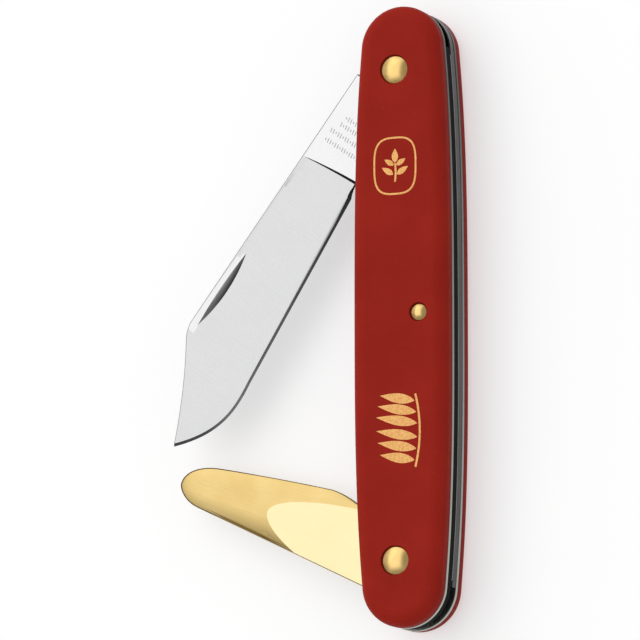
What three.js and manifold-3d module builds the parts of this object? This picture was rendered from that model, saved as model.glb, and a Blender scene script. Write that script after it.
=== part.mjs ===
// Folding grafting knife: a riveted pocket knife with a blade and a bark lifter.
//
// Millimetres. The knife lies on its rear scale: +Z comes out of the front scale, +Y points to the
// end where the blade pivots, and +X points to the back, where the springs are. The origin is the
// middle of the rear scale's flat outer face.
//
// The handle is a stack: scale, liner, bark lifter's layer, divider, blade's layer, liner, scale.
// Its two halves are the same, turned half a turn about the X axis: each half holds a scale, a
// liner, one tool and the spring of that tool. A spring is held by the middle rivet and by the
// other tool's pivot rivet, and its free end runs on its own tool's tang.
import * as THREE from 'three';
import { mergeVertices } from 'three/addons/utils/BufferGeometryUtils.js';
import Module from 'manifold-3d';

const wasm = await Module();
wasm.setup();

// Handle
const HANDLE_LENGTH = 100;
const HANDLE_WIDTH = 16.2; // at the middle, where the sides bulge most
const HANDLE_END_RADIUS = 6.8;
const SCALE_THICKNESS = 3.2;
const SCALE_SHOULDER_WIDTH = 2.4; // of the round between a scale's face and its side
const SCALE_SHOULDER_DEPTH = 2;
const LINER_THICKNESS = 0.8;
const DIVIDER_THICKNESS = 0.3;
const DIVIDER_CORNER_WIDTH = 1;
const DIVIDER_CORNER_LENGTH = 4;

// Rivets
const PIVOT_SETBACK = 10.5; // from the end of the handle
const PIVOT_INSET = 8.7; // from the back of the handle
const PIVOT_PIN_RADIUS = 1.25;
const PIVOT_CAP_RADIUS = 2.3;
const PIVOT_CAP_CROWN = 0.25; // above the scale's face
const SPRING_PIN_INSET = 4.6; // from the back of the handle
const SPRING_PIN_RADIUS = 0.9;
const SPRING_CAP_RADIUS = 1.45;
const SPRING_CAP_CROWN = 0.2;
const CAP_SEAT = 1.2; // depth of a cap's recess in the scale
const CAP_GRIP = 0.7; // length of pin inside a cap

// What both tools share
const TOOL_THICKNESS = 1.55;
const TANG_RADIUS = 4.85;
const TANG_FRONT_ANGLE = 60; // degrees from the tool's line to where its front meets the round
const STOP_STEP = 0.8; // the open stop's shoulder stands this far inside the tang's round

// Blade
const BLADE_TIP_RESERVE = 8.25; // from the tip to the other pivot's height, when closed
const BLADE_REST = 34.8; // degrees from the handle's line: 4.5 is closed and 180 is fully open
const SPINE_HEIGHT_AT_PIVOT = 6.7; // from the line between pivot and tip
const SPINE_HEIGHT_AT_CLIP = 8.95;
const CLIP_LENGTH = 17.2;
const CLIP_ROUND = 1.5; // of its corner, along the spine
const CLIP_DROP = 0.85; // over that round
const CLIP_HOLLOW = 0.3;
const RICASSO_LENGTH = 19;
const HEEL_DEPTH = 2.95;
const EDGE_DEPTH_NEAR = 3.55;
const EDGE_DEPTH_FAR = 5.5;
const CHOIL_LENGTH = 2.5;
const BELLY_LENGTH = 15.6;
const BELLY_DEPTH = 6;
const BELLY_ROUND_FAR = 6; // from the tip to the belly's roundest stretch
const BELLY_ROUND_NEAR = 5; // from the belly's start to that stretch
const EDGE_THICKNESS = 0.2;
const NICK_LENGTH = 14;
const NICK_WIDTH = 0.95;
const NICK_DEPTH = 0.35;
const NICK_INSET = 1.7; // from the spine
const NICK_SETBACK = 1; // from the clip

// Bark lifter
const LIFTER_LENGTH = 42.7;
const LIFTER_REST = 69.7; // degrees from the handle's line: 10.5 is closed and 180 is fully open
const LIFTER_BACK_HEIGHT = 6.35; // at the pivot, from the line between pivot and tip
const LIFTER_TONGUE_BACK = 2.5; // where the round tip starts
const LIFTER_TONGUE_FRONT = 4.64;
const LIFTER_SHOULDER_FRONT = 7.3;
const LIFTER_SHOULDER_LENGTH = 17;
const LIFTER_SHOULDER_ROUND = 2.4;
const LIFTER_NECK_LENGTH = 12.3;
const LIFTER_NECK_FRONT = 6.55;
const LIFTER_TIP_LENGTH = 4.2;
const LIFTER_TIP_ROUND = 5.8; // length of the round between tip and front edge
const LIFTER_TIP_OFFSET = 0.4;
const LIFTER_TIP_REACH = 2.8; // the back's line is carried this far into the tip's round
const LIFTER_TIP_FULLNESS = 0.6; // of the front edge's depth, under the tip
const LIFTER_CORNER_FULLNESS = 0.9; // of that depth, halfway along the round
const LIFTER_FRONT_BULGE = 0.25;
const LIFTER_GRIND_LENGTH = 19;
const LIFTER_TIP_THICKNESS = 0.6;

// Springs
const SPRING_WALL = 0.85; // beside the spring pin
const SPRING_BOSS_LENGTH = 8;
const SPRING_TAPER_LENGTH = 11;
const SPRING_END_REACH = 3.2; // past the other tool's pin, towards the open side
const SPRING_END_LENGTH = 4; // from that pin, along the handle
const SPRING_ROOT_LENGTH = 8.5; // where the spring widens into its fixed end

// Clearances
const SIDE_PLAY = 0.05; // each side of a tool
const PLATE_GAP = 0.02; // between plates that are riveted together
const PIN_PLAY = 0.05;
const CAP_PLAY = 0.05;
const TANG_PLAY = 0.1; // between a tang and its spring
const FLUSH_INSET = 0.05; // of a spring's back, from the liners' edges

const WELD_DISTANCE = 1e-5; // corners closer than this are one

// Fineness of the faceted rounds
const CURVE_SEGMENTS = 8;
const EDGE_SEGMENTS = 4;
const ROUND_SEGMENTS = 32;
const CROWN_SEGMENTS = 4;

// What follows from these
const halfLength = HANDLE_LENGTH / 2;
const halfWidth = HANDLE_WIDTH / 2;
const pivotX = halfWidth - PIVOT_INSET;
const pivotY = halfLength - PIVOT_SETBACK;
const springPinX = halfWidth - SPRING_PIN_INSET;
const toolSlot = TOOL_THICKNESS + 2 * SIDE_PLAY;
const layerBase = DIVIDER_THICKNESS / 2; // heights are from the middle of the divider
const linerBase = layerBase + toolSlot;
const scaleBase = linerBase + LINER_THICKNESS;
const scaleTop = scaleBase + SCALE_THICKNESS;
const stopReach = TANG_RADIUS - STOP_STEP;
const springTop = pivotY + stopReach - TANG_PLAY;
const bladeLength = 2 * pivotY - BLADE_TIP_RESERVE;

const nylon = new THREE.MeshStandardMaterial({ color: 0x8f2522, roughness: 0.45, metalness: 0 });
const steel = new THREE.MeshStandardMaterial({ color: 0xb9bcbf, roughness: 0.25, metalness: 1 });
const bladeSteel = new THREE.MeshStandardMaterial({ color: 0xd5d7d9, roughness: 0.3, metalness: 1 });
const brass = new THREE.MeshStandardMaterial({ color: 0xd9a441, roughness: 0.3, metalness: 1 });

// A closed geometry as a solid that can be cut and joined.
function toSolid(geometry) {
  geometry.deleteAttribute('normal');
  geometry.deleteAttribute('uv');
  const merged = mergeVertices(geometry, WELD_DISTANCE);
  const corners = merged.index.array;
  const triangles = [];
  for (let i = 0; i < corners.length; i += 3) {
    const [a, b, c] = corners.slice(i, i + 3);
    if (a !== b && b !== c && c !== a) triangles.push(a, b, c);
  }
  return new wasm.Manifold(new wasm.Mesh({
    numProp: 3,
    vertProperties: new Float32Array(merged.attributes.position.array),
    triVerts: new Uint32Array(triangles),
  }));
}

function toMesh(name, solid, material) {
  const { vertProperties, triVerts } = solid.getMesh();
  const geometry = new THREE.BufferGeometry();
  geometry.setAttribute('position', new THREE.BufferAttribute(vertProperties, 3));
  geometry.setIndex(new THREE.BufferAttribute(triVerts, 1));
  geometry.computeVertexNormals();
  const mesh = new THREE.Mesh(geometry, material);
  mesh.name = name;
  return mesh;
}

function plate(outline, bottom, top) {
  const geometry = new THREE.ExtrudeGeometry(outline, {
    depth: top - bottom,
    bevelEnabled: false,
    curveSegments: CURVE_SEGMENTS,
  });
  return toSolid(geometry.translate(0, 0, bottom));
}

function rod(x, y, radius, bottom, top) {
  const geometry = new THREE.CylinderGeometry(radius, radius, top - bottom, ROUND_SEGMENTS);
  return toSolid(geometry.rotateX(Math.PI / 2).translate(x, y, (bottom + top) / 2));
}

// The three rivets of a half, with y along that half's own tool end.
const rivets = {
  tool: { x: pivotX, y: pivotY, pin: PIVOT_PIN_RADIUS, cap: PIVOT_CAP_RADIUS, crown: PIVOT_CAP_CROWN },
  far: { x: pivotX, y: -pivotY, pin: PIVOT_PIN_RADIUS, cap: PIVOT_CAP_RADIUS, crown: PIVOT_CAP_CROWN },
  middle: { x: springPinX, y: 0, pin: SPRING_PIN_RADIUS, cap: SPRING_CAP_RADIUS, crown: SPRING_CAP_CROWN },
};

function withPinHoles(solid, places = Object.values(rivets)) {
  let drilled = solid;
  for (const { x, y, pin } of places) {
    drilled = drilled.subtract(rod(x, y, pin + PIN_PLAY, -scaleTop, scaleTop));
  }
  return drilled;
}

// Handle outline: sides that bulge a little, and round ends that they run into smoothly.
function handleOutline(inset = 0) {
  const side = halfWidth - inset;
  const radius = HANDLE_END_RADIUS - inset;
  const centreY = halfLength - HANDLE_END_RADIUS;
  const lean = Math.atan(3 * (side - radius) / centreY);
  const joinX = radius * Math.cos(lean);
  const joinY = centreY + radius * Math.sin(lean);
  const pull = joinY / 3;
  const leanX = joinX + pull * Math.tan(lean);
  const shape = new THREE.Shape().moveTo(side, 0);
  for (const turn of [0, Math.PI]) {
    const sign = Math.cos(turn);
    const [pullY, leanY] = [sign * pull, sign * (joinY - pull)];
    shape.bezierCurveTo(sign * side, pullY, sign * leanX, leanY, sign * joinX, sign * joinY);
    shape.absarc(0, sign * centreY, radius, turn + lean, turn + Math.PI - lean);
    shape.bezierCurveTo(-sign * leanX, leanY, -sign * side, pullY, -sign * side, 0);
  }
  return shape;
}

// A scale is half of a slab that is rounded on both faces.
function scaleSolid() {
  const depth = 2 * (SCALE_THICKNESS - SCALE_SHOULDER_DEPTH);
  const slab = new THREE.ExtrudeGeometry(handleOutline(), {
    depth,
    bevelThickness: SCALE_SHOULDER_DEPTH,
    bevelSize: SCALE_SHOULDER_WIDTH,
    bevelOffset: -SCALE_SHOULDER_WIDTH,
    bevelSegments: EDGE_SEGMENTS,
    curveSegments: CURVE_SEGMENTS,
  }).translate(0, 0, scaleBase - depth / 2);
  const below = new THREE.BoxGeometry(2 * HANDLE_WIDTH, 2 * HANDLE_LENGTH, 2 * SCALE_THICKNESS)
    .translate(0, 0, scaleBase + PLATE_GAP - SCALE_THICKNESS);
  let scale = withPinHoles(toSolid(slab).subtract(toSolid(below)));
  for (const { x, y, cap } of Object.values(rivets)) {
    scale = scale.subtract(rod(x, y, cap + CAP_PLAY, scaleTop - CAP_SEAT, scaleTop + CAP_SEAT));
  }
  return scale;
}

function linerSolid() {
  return withPinHoles(plate(handleOutline(), linerBase + PLATE_GAP, scaleBase));
}

// The divider stops at the springs' free ends.
function dividerSolid() {
  const cornerX = HANDLE_END_RADIUS;
  const flatX = cornerX - DIVIDER_CORNER_WIDTH;
  const shape = new THREE.Shape().moveTo(halfWidth, 0);
  for (const sign of [1, -1]) {
    const endY = sign * springTop;
    const cornerY = sign * (springTop - DIVIDER_CORNER_LENGTH);
    shape.lineTo(sign * halfWidth, cornerY);
    shape.quadraticCurveTo(sign * cornerX, endY, sign * flatX, endY);
    shape.lineTo(-sign * flatX, endY);
    shape.quadraticCurveTo(-sign * cornerX, endY, -sign * halfWidth, cornerY);
    shape.lineTo(-sign * halfWidth, 0);
  }
  const half = (DIVIDER_THICKNESS - PLATE_GAP) / 2;
  const blank = plate(shape, -half, half);
  return withPinHoles(blank.intersect(plate(handleOutline(), -scaleTop, scaleTop)));
}

// Spring: its free end is beside the tool's tang, and its fixed end fills the handle's other end.
function springSolid() {
  const runX = pivotX + TANG_RADIUS + TANG_PLAY;
  const bossX = springPinX - SPRING_PIN_RADIUS - PIN_PLAY - SPRING_WALL;
  const bossY = SPRING_BOSS_LENGTH / 2;
  const taperY = bossY + SPRING_TAPER_LENGTH;
  const easeY = bossY + SPRING_TAPER_LENGTH / 2;
  const endX = pivotX - SPRING_END_REACH;
  const endY = -pivotY + SPRING_END_LENGTH;
  const rootY = endY + SPRING_ROOT_LENGTH;
  const outside = HANDLE_WIDTH;
  const shape = new THREE.Shape()
    .moveTo(runX, springTop)
    .lineTo(runX, taperY)
    .bezierCurveTo(runX, easeY, bossX, easeY, bossX, bossY)
    .lineTo(bossX, rootY)
    .quadraticCurveTo(bossX, endY, endX + SPRING_END_REACH / 2, endY)
    .quadraticCurveTo(endX, endY, endX, endY - SPRING_END_REACH)
    .lineTo(endX, -HANDLE_LENGTH)
    .lineTo(outside, -HANDLE_LENGTH)
    .lineTo(outside, springTop)
    .closePath();
  const blank = plate(shape, layerBase + PLATE_GAP, linerBase - PLATE_GAP);
  const inHandle = blank.intersect(plate(handleOutline(FLUSH_INSET), -scaleTop, scaleTop));
  return withPinHoles(inHandle, [rivets.middle, rivets.far]);
}

// A tool lies along +X from its pivot at the origin, with the side that faces the spring towards
// +Y. Its back side has the shoulder that stops it against the spring's end when fully open.
function startTool(backHeight) {
  const onRound = Math.sqrt(TANG_RADIUS ** 2 - stopReach ** 2);
  return new THREE.Shape().moveTo(stopReach, -onRound).lineTo(stopReach, -backHeight);
}

function finishTool(shape) {
  const front = THREE.MathUtils.degToRad(TANG_FRONT_ANGLE);
  const shoulder = -Math.acos(stopReach / TANG_RADIUS);
  shape.lineTo(TANG_RADIUS * Math.cos(front), TANG_RADIUS * Math.sin(front));
  shape.absarc(0, 0, TANG_RADIUS, front, 2 * Math.PI + shoulder, false);
  return shape;
}

function toolBlank(shape) {
  const thick = TOOL_THICKNESS / 2;
  return plate(shape, -thick, thick).subtract(rod(0, 0, PIVOT_PIN_RADIUS + PIN_PLAY, -scaleTop, scaleTop));
}

// A block that planes a face of a tool down to a slope. The slope starts at the face, at the
// block's corner (x, y), and falls by drop over a length run, towards +Y or, turned, towards +X.
function planer(x, y, run, drop, face, turned) {
  const size = 2 * HANDLE_LENGTH;
  const block = new THREE.BoxGeometry(size, size, TOOL_THICKNESS)
    .translate(turned ? 0 : size / 2, size / 2, TOOL_THICKNESS / 2)
    .rotateX(-Math.atan(drop / run));
  if (turned) block.rotateZ(-Math.PI / 2);
  block.translate(x, y, TOOL_THICKNESS / 2);
  return face > 0 ? toSolid(block) : toSolid(block).mirror([0, 0, 1]);
}

function spineHeight(s) {
  const rise = (SPINE_HEIGHT_AT_CLIP - SPINE_HEIGHT_AT_PIVOT) / (bladeLength - CLIP_LENGTH);
  return SPINE_HEIGHT_AT_PIVOT + rise * s;
}

function bladeSolid() {
  const tip = bladeLength;
  const clip = tip - CLIP_LENGTH;
  const belly = tip - BELLY_LENGTH;
  const [farX, nearX] = [tip - BELLY_ROUND_FAR, belly + BELLY_ROUND_NEAR];
  const edgeStart = RICASSO_LENGTH + CHOIL_LENGTH;
  const clipTop = SPINE_HEIGHT_AT_CLIP - CLIP_DROP;
  const shape = startTool(spineHeight(stopReach))
    .lineTo(clip - CLIP_ROUND, -spineHeight(clip - CLIP_ROUND))
    .quadraticCurveTo(clip, -SPINE_HEIGHT_AT_CLIP, clip + CLIP_ROUND, -clipTop)
    .quadraticCurveTo(clip + CLIP_LENGTH / 2, 2 * CLIP_HOLLOW - clipTop / 2, tip, 0)
    .bezierCurveTo(farX, BELLY_DEPTH, nearX, BELLY_DEPTH, belly, EDGE_DEPTH_FAR)
    .lineTo(edgeStart, EDGE_DEPTH_NEAR)
    .quadraticCurveTo((RICASSO_LENGTH + edgeStart) / 2, HEEL_DEPTH, RICASSO_LENGTH, HEEL_DEPTH);
  const grindWidth = SPINE_HEIGHT_AT_CLIP + BELLY_DEPTH;
  const drop = (TOOL_THICKNESS - EDGE_THICKNESS) / 2;
  let blade = toolBlank(finishTool(shape));
  for (const face of [1, -1]) {
    blade = blade.subtract(planer(RICASSO_LENGTH, -SPINE_HEIGHT_AT_CLIP, grindWidth, drop, face, false));
  }
  return blade.subtract(nickSolid(clip));
}

// Nail nick: a shallow crescent near the spine, in the front face.
function nickSolid(clip) {
  const far = clip - NICK_SETBACK;
  const near = far - NICK_LENGTH;
  const top = -(spineHeight(far) - NICK_INSET);
  const shape = new THREE.Shape()
    .moveTo(near, top)
    .quadraticCurveTo((near + far) / 2, top + 2 * NICK_WIDTH, far, top)
    .closePath();
  return plate(shape, TOOL_THICKNESS / 2 - NICK_DEPTH, TOOL_THICKNESS);
}

function lifterSolid() {
  const tip = LIFTER_LENGTH;
  const tongueX = tip - LIFTER_TIP_LENGTH;
  const fall = (LIFTER_BACK_HEIGHT - LIFTER_TONGUE_BACK) / tongueX;
  const reachX = tongueX + LIFTER_TIP_REACH;
  const reachY = fall * LIFTER_TIP_REACH - LIFTER_TONGUE_BACK;
  const [frontX, frontY] = [tip - LIFTER_TIP_ROUND, LIFTER_TONGUE_FRONT];
  const [cornerX, cornerY] = [tip - LIFTER_TIP_ROUND / 2, LIFTER_CORNER_FULLNESS * frontY];
  const [shoulderX, shoulderY] = [LIFTER_SHOULDER_LENGTH, LIFTER_SHOULDER_FRONT];
  const [middleX, middleY] = [(frontX + shoulderX) / 2, (frontY + shoulderY) / 2];
  const shape = startTool(LIFTER_BACK_HEIGHT - fall * stopReach)
    .lineTo(tongueX, -LIFTER_TONGUE_BACK)
    .bezierCurveTo(reachX, reachY, tip, -LIFTER_TIP_OFFSET, tip, LIFTER_TIP_OFFSET)
    .bezierCurveTo(tip, LIFTER_TIP_FULLNESS * frontY, cornerX, cornerY, frontX, frontY)
    .quadraticCurveTo(middleX, middleY + LIFTER_FRONT_BULGE, shoulderX, shoulderY)
    .quadraticCurveTo(shoulderX - LIFTER_SHOULDER_ROUND, shoulderY, LIFTER_NECK_LENGTH, LIFTER_NECK_FRONT);
  const drop = (TOOL_THICKNESS - LIFTER_TIP_THICKNESS) / 2;
  let lifter = toolBlank(finishTool(shape));
  for (const face of [1, -1]) {
    lifter = lifter.subtract(planer(tip - LIFTER_GRIND_LENGTH, 0, LIFTER_GRIND_LENGTH, drop, face, true));
  }
  return lifter;
}

// Rivet cap: a domed button over the pin's end, with the pin in a blind hole in its underside.
function capSolid({ x, y, pin, cap, crown }) {
  const foot = PLATE_GAP;
  const holeTop = CAP_GRIP + PIN_PLAY;
  const hole = pin + PIN_PLAY;
  const profile = [[0, holeTop], [hole, holeTop], [hole, foot], [cap, foot]];
  for (let i = 0; i <= CROWN_SEGMENTS; i += 1) {
    const angle = i / CROWN_SEGMENTS * Math.PI / 2;
    profile.push([cap * Math.cos(angle), CAP_SEAT + crown * Math.sin(angle)]);
  }
  profile[profile.length - 1][0] = 0;
  const points = profile.map(([radius, height]) => new THREE.Vector2(radius, height));
  const geometry = new THREE.LatheGeometry(points, ROUND_SEGMENTS);
  return toSolid(geometry.rotateX(Math.PI / 2).translate(x, y, scaleTop - CAP_SEAT));
}

function toolGroup(mesh, restAngle) {
  const group = new THREE.Group();
  group.position.set(pivotX, pivotY, layerBase + toolSlot / 2);
  group.rotation.z = -Math.PI / 2 - THREE.MathUtils.degToRad(restAngle);
  group.add(mesh);
  return group;
}

// One half of the handle with its tool, in a frame whose z = 0 is the middle of the divider.
function halfGroup(side, tool, otherTool, toolMesh, restAngle) {
  const half = new THREE.Group();
  half.add(
    toMesh(`${side}_scale`, scaleSolid(), nylon),
    toMesh(`${side}_liner`, linerSolid(), steel),
    toMesh(`${tool}_spring`, springSolid(), steel),
    toMesh(`${side}_${tool}_rivet_cap`, capSolid(rivets.tool), brass),
    toMesh(`${side}_${otherTool}_rivet_cap`, capSolid(rivets.far), brass),
    toMesh(`${side}_spring_rivet_cap`, capSolid(rivets.middle), brass),
    toolGroup(toolMesh, restAngle),
  );
  return half;
}

function pinMesh(name, { x, y, pin }) {
  const end = scaleTop - CAP_SEAT + CAP_GRIP;
  return toMesh(name, rod(x, y, pin, -end, end), brass);
}

const blade = toMesh('grafting_blade', bladeSolid(), bladeSteel);
const lifter = toMesh('bark_lifter', lifterSolid(), brass);
const frontHalf = halfGroup('front', 'blade', 'lifter', blade, BLADE_REST);
const rearHalf = halfGroup('rear', 'lifter', 'blade', lifter, LIFTER_REST);
rearHalf.rotation.x = Math.PI;

const knife = new THREE.Group();
knife.position.z = scaleTop;
knife.add(
  frontHalf,
  rearHalf,
  toMesh('divider_plate', dividerSolid(), steel),
  pinMesh('blade_pivot_pin', rivets.tool),
  pinMesh('lifter_pivot_pin', rivets.far),
  pinMesh('spring_pin', rivets.middle),
);

export default knife;
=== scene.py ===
"""Looks of the folding grafting knife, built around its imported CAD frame.

The knife lies on its rear scale. Shapes are worked out in millimetres and handed to Blender in
metres. The handle is two equal halves, turned half a turn about the X axis: the front half holds
the blade and the rear half holds the bark lifter.
"""
import math

import bmesh
import bpy
import numpy as np
from mathutils import Matrix, Vector
from mathutils.geometry import delaunay_2d_cdt, tessellate_polygon


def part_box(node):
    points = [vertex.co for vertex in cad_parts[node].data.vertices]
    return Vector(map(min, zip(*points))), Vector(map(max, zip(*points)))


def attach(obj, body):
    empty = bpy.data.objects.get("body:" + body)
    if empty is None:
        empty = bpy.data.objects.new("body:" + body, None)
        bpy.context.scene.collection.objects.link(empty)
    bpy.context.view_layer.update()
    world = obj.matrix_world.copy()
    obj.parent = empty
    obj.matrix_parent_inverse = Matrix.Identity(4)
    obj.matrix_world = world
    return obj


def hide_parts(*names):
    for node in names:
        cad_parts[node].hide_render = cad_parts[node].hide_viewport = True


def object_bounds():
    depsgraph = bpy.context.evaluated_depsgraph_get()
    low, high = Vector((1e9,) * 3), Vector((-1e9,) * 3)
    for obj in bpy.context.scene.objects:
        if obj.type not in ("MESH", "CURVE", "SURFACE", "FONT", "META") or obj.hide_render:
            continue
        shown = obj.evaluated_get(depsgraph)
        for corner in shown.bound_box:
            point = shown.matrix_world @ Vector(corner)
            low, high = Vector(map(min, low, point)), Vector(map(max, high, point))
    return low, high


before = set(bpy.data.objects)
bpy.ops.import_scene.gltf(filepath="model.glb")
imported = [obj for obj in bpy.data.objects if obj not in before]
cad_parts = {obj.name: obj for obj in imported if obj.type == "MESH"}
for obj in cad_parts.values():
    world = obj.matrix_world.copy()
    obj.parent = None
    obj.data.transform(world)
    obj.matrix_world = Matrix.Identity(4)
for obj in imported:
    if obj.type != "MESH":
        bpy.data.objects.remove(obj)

MM = 0.001
cad_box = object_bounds()


# ---------------------------------------------------------------- sizes that the frame gives

def box_mm(node):
    """Lowest and highest corner of a CAD node, in millimetres."""
    low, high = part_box(node)
    return low / MM, high / MM


def middle_mm(node):
    low, high = box_mm(node)
    return (low + high) / 2


SCALE_LOW, SCALE_HIGH = box_mm("front_scale")
LINER_LOW, LINER_HIGH = box_mm("front_liner")
SPRING_LOW, SPRING_HIGH = box_mm("blade_spring")
DIVIDER_LOW, DIVIDER_HIGH = box_mm("divider_plate")
BLADE_LOW, BLADE_HIGH = box_mm("grafting_blade")
CAP_LOW, CAP_HIGH = box_mm("front_blade_rivet_cap")
SPRING_CAP_LOW, SPRING_CAP_HIGH = box_mm("front_spring_rivet_cap")

HALF_WIDTH = (SCALE_HIGH.x - SCALE_LOW.x) / 2
HALF_LENGTH = (SCALE_HIGH.y - SCALE_LOW.y) / 2
MIDDLE_Z = (DIVIDER_LOW.z + DIVIDER_HIGH.z) / 2
SCALE_BASE = SCALE_LOW.z - MIDDLE_Z
SCALE_TOP = SCALE_HIGH.z - MIDDLE_Z
CAP_RADIUS = (CAP_HIGH.x - CAP_LOW.x) / 2
SPRING_CAP_RADIUS = (SPRING_CAP_HIGH.x - SPRING_CAP_LOW.x) / 2
PIVOT = middle_mm("blade_pivot_pin")
SPRING_PIN = middle_mm("spring_pin")
SPRING_TOP = SPRING_HIGH.y
TOOL_THICKNESS = BLADE_HIGH.z - BLADE_LOW.z

# ---------------------------------------------------------------- sizes of the shapes, in mm

HANDLE_END_RADIUS = 6.8
SHOULDER_WIDTH = 2.4  # of a scale's rounded edge
SHOULDER_DEPTH = 2
EDGE_BREAK = 0.06  # of the edges of the metal plates
SPRING_EDGE = 0.15  # of the springs' rounder edges
SPRING_INSET = 0.05  # from the handle's outline to the springs'
DIVIDER_EDGE = 0.04
DIVIDER_CORNER_WIDTH = 1  # taken off the divider's ends
DIVIDER_CORNER_LENGTH = 4
TANG_RADIUS = 4.85
TANG_PLAY = 0.1
STOP_REACH = 4.05
PIN_HOLE = 1.3
SPRING_PIN_HOLE = 0.95
CAP_PLAY = 0.05
CAP_RIM_DROP = 0.3  # of a rivet head's rim, below the scale's face

BLADE_ANGLE = math.radians(34.8)  # from the handle's line, at rest
LIFTER_ANGLE = math.radians(69.7)

BLADE_LENGTH = 70.75
CLIP_LENGTH = 17.2
CLIP_ROUND = 1.5
CLIP_DROP = 0.85
CLIP_HOLLOW = 0.3
SPINE_AT_PIVOT = 6.7
SPINE_AT_CLIP = 8.95
RICASSO_LENGTH = 19
EDGE_START = 21.5
HEEL_DEPTH = 2.95
EDGE_NEAR = 3.55
EDGE_FAR = 5.5
BELLY_LENGTH = 15.6
BELLY_DEPTH = 6
BELLY_FAR = 6
BELLY_NEAR = 5
EDGE_THICKNESS = 0.2
BEVEL_WIDTH = 0.42  # of the honed bevel along the edge
BEVEL_HEEL_WIDTH = 0.3  # how much wider the bevel is at the heel
BEVEL_HEEL_RUN = 7
BEVEL_LEAD = 2.2  # how far from the heel it takes to reach its width
SPINE_BREAK = 0.16  # of the blade's and the lifter's own edges
CUTTING_EDGE = 0.03  # half of what is left at the very edge
PLUNGE_LINE = (18.9, -0.092, 0.0053)  # how far along the blade it starts: at, lean and bend
PLUNGE_RUN = 0.5  # of the round where the grind starts, at the edge side
PLUNGE_END = -7.5  # how high up the blade that round runs out
NICK_NEAR = (38.1, -6.9)
NICK_FAR = (52.2, -7.5)
NICK_BACK = 0.3  # bulge of the nick's side near the spine
NICK_BULGE = 0.95  # bulge of its other side, towards the edge
NICK_DEPTH = 0.45
STRIP_SLANT = -1.5  # of the near end of the polished strip between the nick and the spine

LIFTER_LENGTH = 42.7
LIFTER_BACK = 6.35
LIFTER_TONGUE_BACK = 2.5
LIFTER_TONGUE_FRONT = 4.64
LIFTER_SHOULDER = (17, 7.3)
LIFTER_SHOULDER_ROUND = 2.4
LIFTER_NECK = (12.3, 6.55)
LIFTER_TIP_LENGTH = 4.2
LIFTER_TIP_ROUND = 5.8
LIFTER_TIP_OFFSET = 0.4
LIFTER_TIP_REACH = 2.8
LIFTER_FRONT_BULGE = 0.25
LIFTER_TIP_HALF = 0.3
SPOON_ROUND = 2.6  # width of the rounding along the spoon's edges
SPOON_DROP = 0.3
SPOON_FALL = 5  # how far beyond the flat the spoon takes to thin
SPOON_START = 1.5  # and how far beyond it the rounding reaches its depth
FLAT_BACK = (17.5, -4.9)  # where the flat's edge starts, at the lifter's back
FLAT_TIP = (26.3, 0.6)
FLAT_FRONT = (9, 5.9)
FLAT_MARGIN = 4  # past the outline, where the flat's loop is closed


# ---------------------------------------------------------------- outlines

class Path:
    """An outline in a plane, made of lines, Bezier curves and arcs."""

    def __init__(self, x, y):
        self.points = [(x, y)]

    def line(self, x, y):
        self.points.append((x, y))
        return self

    def curve(self, *controls, steps=24):
        """A Bezier curve from the last point, through controls of any number, to the last of them."""
        chain = [self.points[-1], *controls]
        for i in range(1, steps + 1):
            level = chain
            while len(level) > 1:
                level = [blend(a, b, i / steps) for a, b in zip(level, level[1:])]
            self.points.append(level[0])
        return self

    def arc(self, x, y, radius, start, end, steps=32):
        for i in range(1, steps + 1):
            angle = start + (end - start) * i / steps
            self.points.append((x + radius * math.cos(angle), y + radius * math.sin(angle)))
        return self


def blend(a, b, share):
    return tuple(p + (q - p) * share for p, q in zip(a, b))


def clean_loop(points, least=1e-4):
    """The loop without points that repeat their neighbour."""
    kept = [p for p, q in zip(points, [points[-1], *points]) if math.dist(p, q) > least]
    return kept


def inset_loop(points, distance):
    """A counterclockwise loop moved inwards, with as many points."""
    loop = np.array(points)
    ahead = np.roll(loop, -1, axis=0) - loop
    ahead /= np.linalg.norm(ahead, axis=1, keepdims=True)
    normal = np.stack([-ahead[:, 1], ahead[:, 0]], axis=1)
    both = normal + np.roll(normal, 1, axis=0)
    both /= np.maximum((both**2).sum(axis=1, keepdims=True) / 2, 0.3)
    return [tuple(p) for p in loop + both * distance]


def circle(x, y, radius, steps=48):
    turn = 2 * math.pi / steps
    return [(x + radius * math.cos(turn * i), y + radius * math.sin(turn * i)) for i in range(steps)]


def handle_outline(inset=0.0):
    """Sides that bulge a little, and round ends that they run into smoothly."""
    side = HALF_WIDTH - inset
    radius = HANDLE_END_RADIUS - inset
    centre_y = HALF_LENGTH - HANDLE_END_RADIUS
    lean = math.atan(3 * (side - radius) / centre_y)
    join_x, join_y = radius * math.cos(lean), centre_y + radius * math.sin(lean)
    pull = join_y / 3
    lean_x = join_x + pull * math.tan(lean)
    path = Path(side, 0)
    for sign in (1, -1):
        start = lean if sign > 0 else math.pi + lean
        ease, far = (sign * side, sign * pull), (sign * lean_x, sign * (join_y - pull))
        path.curve(ease, far, (sign * join_x, sign * join_y), steps=28)
        path.arc(0, sign * centre_y, radius, start, start + math.pi - 2 * lean, steps=56)
        ease, far = (-sign * lean_x, sign * (join_y - pull)), (-sign * side, sign * pull)
        path.curve(ease, far, (-sign * side, 0), steps=28)
    return clean_loop(path.points)


# ---------------------------------------------------------------- meshes

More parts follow.
